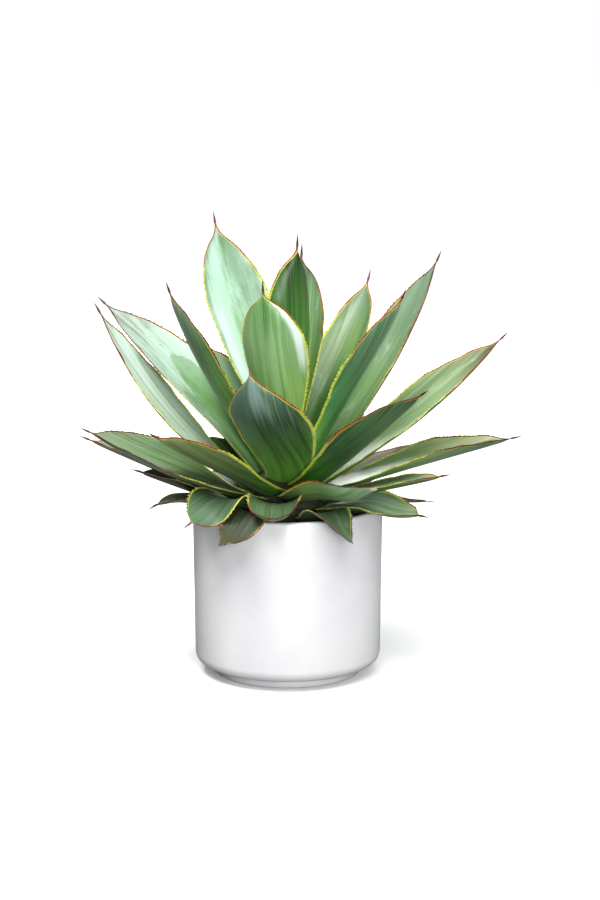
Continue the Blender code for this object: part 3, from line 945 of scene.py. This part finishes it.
def leafMaterial(name, traits):
    made, sockets = newMaterial(name)
    place, side, gap, under, hard = (attribute(mark) for mark in leafMarks[:5])
    flat = attribute("leafFlat", "Vector")
    under = ease(under, 0.45, 0.55)
    streaks = useGroup(leafStreaks, {"Flat": flat})
    cover = lift(traits["innerWax"], under, traits["outerWax"] - traits["innerWax"])
    wax = useGroup(waxBloom, {"Flat": flat, "Cover": cover})
    streak = traits["streak"]

    # flesh: foot to tip, inner face and outer face; the skin colours carry painted shade low on the leaf, and
    # painted reflection on leaves 13 and 17
    along = plus(place, swing(streaks["Broad"], 0.10))
    inner = ramp(along, list(zip(skinStops, traits["inner"])))
    outer = ramp(along, list(zip(skinStops, traits["outer"])))
    flesh = blend(under, inner, outer)
    flesh = blend(times(streaks["Fine"], streak), flesh, leafSkin["fineLines"], "MULTIPLY")
    flesh = blend(times(streaks["Broad"], streak * 1.6), flesh, leafSkin["bands"], "MULTIPLY")
    paleShare = times(ease(streaks["Vein"], 0.5, 0.7), streak * 0.55)
    flesh = blend(paleShare, flesh, leafSkin["paleLines"])

    # wax, thinner at the root and inside a bud mark; where the inner cover is set high (leaves 4, 13 and 17)
    # the pale wax is painted reflection over real bloom
    waxAndReflectionShare = times(wax["Wax"], lift(1.0, ease(along, 0.40, 0.08), -0.8))
    for top, middle, width, long, tint, amount in traits["prints"]:
        mark = useGroup(budImprint, {"Place": place, "Side": side, "Flat": flat, "Top": top,
                                           "Middle": middle, "Width": width, "Long": long})
        flesh = blend(times(mark["Inside"], amount), flesh, tint)
        flesh = blend(times(mark["Line"], 0.25), flesh, leafSkin["printLine"])
        waxAndReflectionShare = times(waxAndReflectionShare, lift(1.0, mark["Inside"], -0.6))
    flesh = blend(times(waxAndReflectionShare, traits["waxDepth"]), flesh, traits["wax"])

    # painted highlight and painted shade bands that run lengthwise
    across = plus(side, swing(streaks["Broad"], 0.16))
    for centre, half, start, stop, tint, amount in traits["bands"]:
        away = maths("ABSOLUTE", minus(across, centre))
        share = ease(away, half, half * 0.25, 0.0, amount)
        share = times(share, ease(along, start - 0.1, start + 0.08))
        share = times(share, ease(along, stop + 0.1, stop - 0.08))
        flesh = blend(share, flesh, tint)
    mottle = maths("MAXIMUM", swing(wax["Mottle"], 0.5), 0.0)
    flesh = blend(mottle, flesh, leafSkin["mottle"])
    specks = useGroup(corkSpecks, {"Flat": flat, "Amount": traits["specks"]})["Mask"]
    flesh = blend(specks, flesh, leafSkin["cork"])

    # dry end
    ragged = pulledCloud(flat, (0.22, 0.09, 1.0), 3.0, 0.6)
    frayed = plus(place, swing(ragged, 0.22))
    dryness = ease(frayed, traits["dry"], traits["dry"] + 0.07)
    flesh = blend(dryness, flesh, blend(streaks["Fine"], *traits["dryTints"]))

    own = {label: traits["edge" + label] for label in ("Turn", "Width", "Root", "Middle", "Tip", "Line")}
    edge = useGroup(hornyEdge, {
        "Place": place, "Gap": gap, "Hard": hard, "Flat": flat, "Tooth": traits["tooth"], **own})
    skin = blend(edge["Mask"], flesh, edge["Colour"])
    if not traits["cut"]:
        toTip, spine = attribute("leafEnd"), traits["spine"]
        frayed = plus(toTip, swing(streaks["Fine"], 3.0))
        spineTint = blend(ease(toTip, spine + 1.0, spine * 0.55), *traits["spineTints"])
        skin = blend(ease(frayed, spine + 5.0, spine + 0.5), skin, spineTint)

    rough = lift(traits["gloss"], waxAndReflectionShare, 0.14)
    rough = plus(rough, swing(streaks["Fine"], 0.10))
    rough = lift(rough, maths("MAXIMUM", specks, dryness), 0.3)
    height = plus(times(streaks["Vein"], 0.5), times(streaks["Fine"], 0.4))
    height = lift(lift(height, wax["Mottle"], 0.25), specks, -0.6)
    sheen = zip(("Sheen Weight", "Sheen Roughness", "Sheen Tint"), leafSkin["sheen"])
    for label, value in (*sheen, ("Specular IOR Level", leafSkin["specular"])):
        sockets[label].default_value = value
    return finishMaterial(made, sockets, skin, rough, height, *leafSkin["relief"])


for leafNumber in sorted(leafLooks):
    buildLeaf(leafNumber)
print("leaves grown:", len(leafLooks))

potLooks = {
    "sides": 216,
    "glaze": ("#dcdcdf", "#e5e5e6"),
    "coat": (0.25, 0.12),  # weight and roughness of the clear top
    "crease": 32.0,  # degrees: sharper corners of the outline stay crisp
}


def potOutline():
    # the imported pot's outline as (distance from the axis, height), read from one upright row of its corners
    body = weldedNode("pot")
    away = {v: math.hypot(v.co.x, v.co.y) for v in body.verts}
    rim = max(body.verts, key=lambda v: (round(v.co.z, 5), v.co.x))
    angle = math.atan2(rim.co.y, rim.co.x)
    inRow = {v for v in body.verts if away[v] > 0.1 * mm
             and abs(math.remainder(math.atan2(v.co.y, v.co.x) - angle, 2 * math.pi)) < 0.005}
    beside = {v: [e.other_vert(v) for e in v.link_edges if e.other_vert(v) in inRow] for v in inRow}
    ends = sorted((v for v in inRow if len(beside[v]) == 1), key=lambda v: v.co.z)
    outline = [(away[v], v.co.z) for v in walk(ends[0], beside)]
    body.free()
    return outline


def turnPot():
    outline = potOutline()
    count, sides = len(outline), potLooks["sides"]
    points = []
    for k in range(sides):
        angle = 2 * math.pi * k / sides
        points.extend((r * math.cos(angle), r * math.sin(angle), z) for r, z in outline)
    faces = []
    for k in range(sides):
        a, b = k * count, ((k + 1) % sides) * count
        faces.extend((a + i, b + i, b + i + 1, a + i + 1) for i in range(count - 1))
    for i, order in ((0, -1), (count - 1, 1)):
        middle = len(points)
        points.append((0.0, 0.0, outline[i][1]))
        for k in range(sides):
            ring = (k * count + i, ((k + 1) % sides) * count + i, middle)
            faces.append(ring[::order])
    piece = addMesh("pot_turned", points, faces)
    piece.data.set_sharp_from_angle(angle=math.radians(potLooks["crease"]))
    piece.data.materials.append(glazeMaterial())
    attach(piece, "root")
    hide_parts("pot")
    print("pot turned from", count, "outline points")


def glazeMaterial():
    made, sockets = newMaterial("pot_glaze")
    where = position()
    drift = cloud(where, 14.0, 3.0, 0.5)
    tint = blend(ease(drift, 0.35, 0.65), *potLooks["glaze"])
    peel = cloud(where, 260.0, 2.0, 0.5)
    sockets["Coat Weight"].default_value, sockets["Coat Roughness"].default_value = potLooks["coat"]
    return finishMaterial(made, sockets, tint, lift(0.30, drift, 0.12), peel, 0.10, 0.2 * mm)


stemLooks = {
    # the ring colours are old leaf bases, darkened almost to black as painted shade under the rosette
    "rings": [(0.0, "#3b4a22"), (0.45, "#24301a"), (0.8, "#120f0b")],
    "fibre": "#4d4230",
    "relief": (0.7, 1.2 * mm),
}

soilLooks = {
    "grains": [(0.3, "#120c08"), (0.55, "#2a1d13"), (0.75, "#49382a")],
    "lumps": "#3c2c1e",
    "relief": (0.8, 1.5 * mm),
}

shootLooks = {
    "streaks": [(0.3, "#7d9a3e"), (0.55, "#9dbb5c"), (0.75, "#c0d28a")],
    "wrap": "#5f8446",
    "relief": (0.4, 0.4 * mm),
}

crumbs = {
    "count": 420,
    "small": 0.8 * mm,
    "large": 2.6 * mm,
    "perlite": 0.10,  # share of white grains
    "margin": 3.0 * mm,  # kept clear at the stem and at the wall
    "bark": [(0.0, "#1d130c"), (0.35, "#3a2818"), (0.65, "#5b4129"), (0.9, "#7a5d3e")],
    "white": "#dcd8cc",
    "dust": "#6a5a48",
    "relief": (0.6, 0.4 * mm),
}


def stemMaterial():
    # old leaf bases: dark rings with dry fibre between them, the rings darkened almost to black as painted
    # shade under the rosette
    made, sockets = newMaterial("stem_skin")
    where = position()
    fibre = pulledCloud(where, (900.0, 900.0, 60.0), 3.0, 0.6)
    scales = cells(stretch(where, (70.0, 70.0, 190.0)), 1.0)
    share = times(ease(fibre, 0.45, 0.7), 0.5)
    shade = blend(share, ramp(scales, stemLooks["rings"]), stemLooks["fibre"])
    height = plus(times(scales, -1.0), times(fibre, 0.4))
    rough = lift(0.62, fibre, 0.3)
    return finishMaterial(made, sockets, shade, rough, height, *stemLooks["relief"])


def soilMaterial():
    made, sockets = newMaterial("potting_soil")
    where = position()
    lumps = cells(where, 420.0)
    fine = cloud(where, 900.0, 4.0, 0.7)
    share = ease(lumps, 0.5, 0.1, 0.0, 0.5)
    shade = blend(share, ramp(fine, soilLooks["grains"]), soilLooks["lumps"])
    rough, height = lift(0.75, fine, 0.25), minus(fine, lumps)
    return finishMaterial(made, sockets, shade, rough, height, *soilLooks["relief"])


def shootMaterial():
    # the closed heart: pale, with the edges of the wrapped leaves
    made, sockets = newMaterial("shoot_skin")
    where = position()
    streak = pulledCloud(where, (700.0, 700.0, 12.0), 3.0, 0.6)
    wrap = pulledCloud(where, (120.0, 120.0, 14.0), 2.0, 0.5)
    shade = ramp(streak, shootLooks["streaks"])
    shade = blend(ease(wrap, 0.52, 0.60), shade, shootLooks["wrap"])
    rough = lift(0.34, streak, 0.16)
    return finishMaterial(made, sockets, shade, rough, streak, *shootLooks["relief"])


def crumbMaterial():
    made, sockets = newMaterial("soil_crumbs")
    tone = attribute("crumbTone")
    grain = cloud(position(), 1500.0, 3.0, 0.6)
    shade = blend(ease(tone, 1.4, 1.6), ramp(tone, crumbs["bark"]), crumbs["white"])
    shade = blend(times(grain, 0.5), shade, crumbs["dust"], "MULTIPLY")
    rough = lift(0.7, grain, 0.25)
    return finishMaterial(made, sockets, shade, rough, grain, *crumbs["relief"])


def scatterCrumbs():
    # bark and grit lying on the soil between the stem and the wall
    low, high = (Vector(corner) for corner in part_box("soil"))
    stemLow, stemHigh = (Vector(corner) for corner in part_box("stem"))
    inside = (stemHigh.x - stemLow.x) / 2 + crumbs["margin"]
    outside = (high.x - low.x) / 2 - crumbs["margin"]
    dice = random.Random(97)
    lump = bmesh.new()
    bmesh.ops.create_icosphere(lump, subdivisions=2, radius=1.0)
    ball = [v.co.copy() for v in lump.verts]
    skin = [tuple(v.index for v in face.verts) for face in lump.faces]
    lump.free()
    points, faces, tones = [], [], []
    for _ in range(crumbs["count"]):
        away = math.sqrt(dice.uniform(inside ** 2, outside ** 2))
        angle = dice.uniform(0, 2 * math.pi)
        size = crumbs["small"] + (crumbs["large"] - crumbs["small"]) * dice.random() ** 2
        white = dice.random() < crumbs["perlite"]
        tone = 2.0 if white else dice.uniform(0, 1)
        flat = Matrix.Diagonal((1.0, dice.uniform(0.5, 0.9), dice.uniform(0.3, 0.6)))
        turn = Matrix.Rotation(dice.uniform(0, 6.28), 3, "Z")
        turn = turn @ Matrix.Rotation(dice.uniform(-0.4, 0.4), 3, "X") @ flat
        centre = Vector((away * math.cos(angle), away * math.sin(angle), high.z + size * 0.15))
        shift = Vector((dice.uniform(0, 50), dice.uniform(0, 50), 0))
        first = len(points)
        for p in ball:
            rough = 1 + 0.35 * noise.noise(p * 1.6 + shift) + 0.12 * noise.noise(p * 4.1 + shift)
            points.append(centre + turn @ (p * size * rough))
            tones.append(tone)
        faces.extend(tuple(first + k for k in face) for face in skin)
    piece = addMesh("soil_crumbs", points, faces)
    writeAttribute(piece.data, "crumbTone", tones)
    piece.data.materials.append(crumbMaterial())
    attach(piece, "root")


def coat(node, made):
    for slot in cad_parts[node].material_slots:
        slot.material = made


coat("stem", stemMaterial())
coat("soil", soilMaterial())
coat("shoot", shootMaterial())
scatterCrumbs()
print("stem, soil and shoot coated, crumbs scattered")
turnPot()


def makeFloor():
    half = studio["floorSize"] / 2
    corners = [(-half, -half, 0), (half, -half, 0), (half, half, 0), (-half, half, 0)]
    floor = addMesh("floor", corners, [(0, 1, 2, 3)])
    made, sockets = newMaterial("floor_paper")
    seen = newNode("ShaderNodeLightPath").outputs["Is Camera Ray"]
    plug(blend(seen, (*studio["floorGlow"], 1.0), (*studio["floor"], 1.0)), sockets["Base Color"])
    plug(0.9, sockets["Roughness"])
    plug(0.1, sockets["Specular IOR Level"])
    plug(blend(seen, "#000000", "#ffffff"), sockets["Emission Color"])
    plug(studio["floorLift"], sockets["Emission Strength"])
    floor.data.materials.append(made)


def makeWorld():
    sky = bpy.data.worlds.new("studio")
    sky.use_nodes = True
    desk["tree"] = sky.node_tree
    shine = sky.node_tree.nodes["Background"].inputs
    seen = newNode("ShaderNodeLightPath").outputs["Is Camera Ray"]
    plug(blend(seen, (*studio["world"], 1.0), (*studio["backdrop"], 1.0)), shine["Color"])
    low = studio["worldStrength"]
    plug(maths("MULTIPLY_ADD", seen, 1.0 - low, low), shine["Strength"])
    bpy.context.scene.world = sky


makeFloor()
makeWorld()
bpy.context.scene.view_settings.view_transform = "Standard"
makeCeiling(*studio["ceiling"])
for lampName in ("top", "front", "right", "back"):
    makeLight(lampName, *studio[lampName])
print("studio lit")
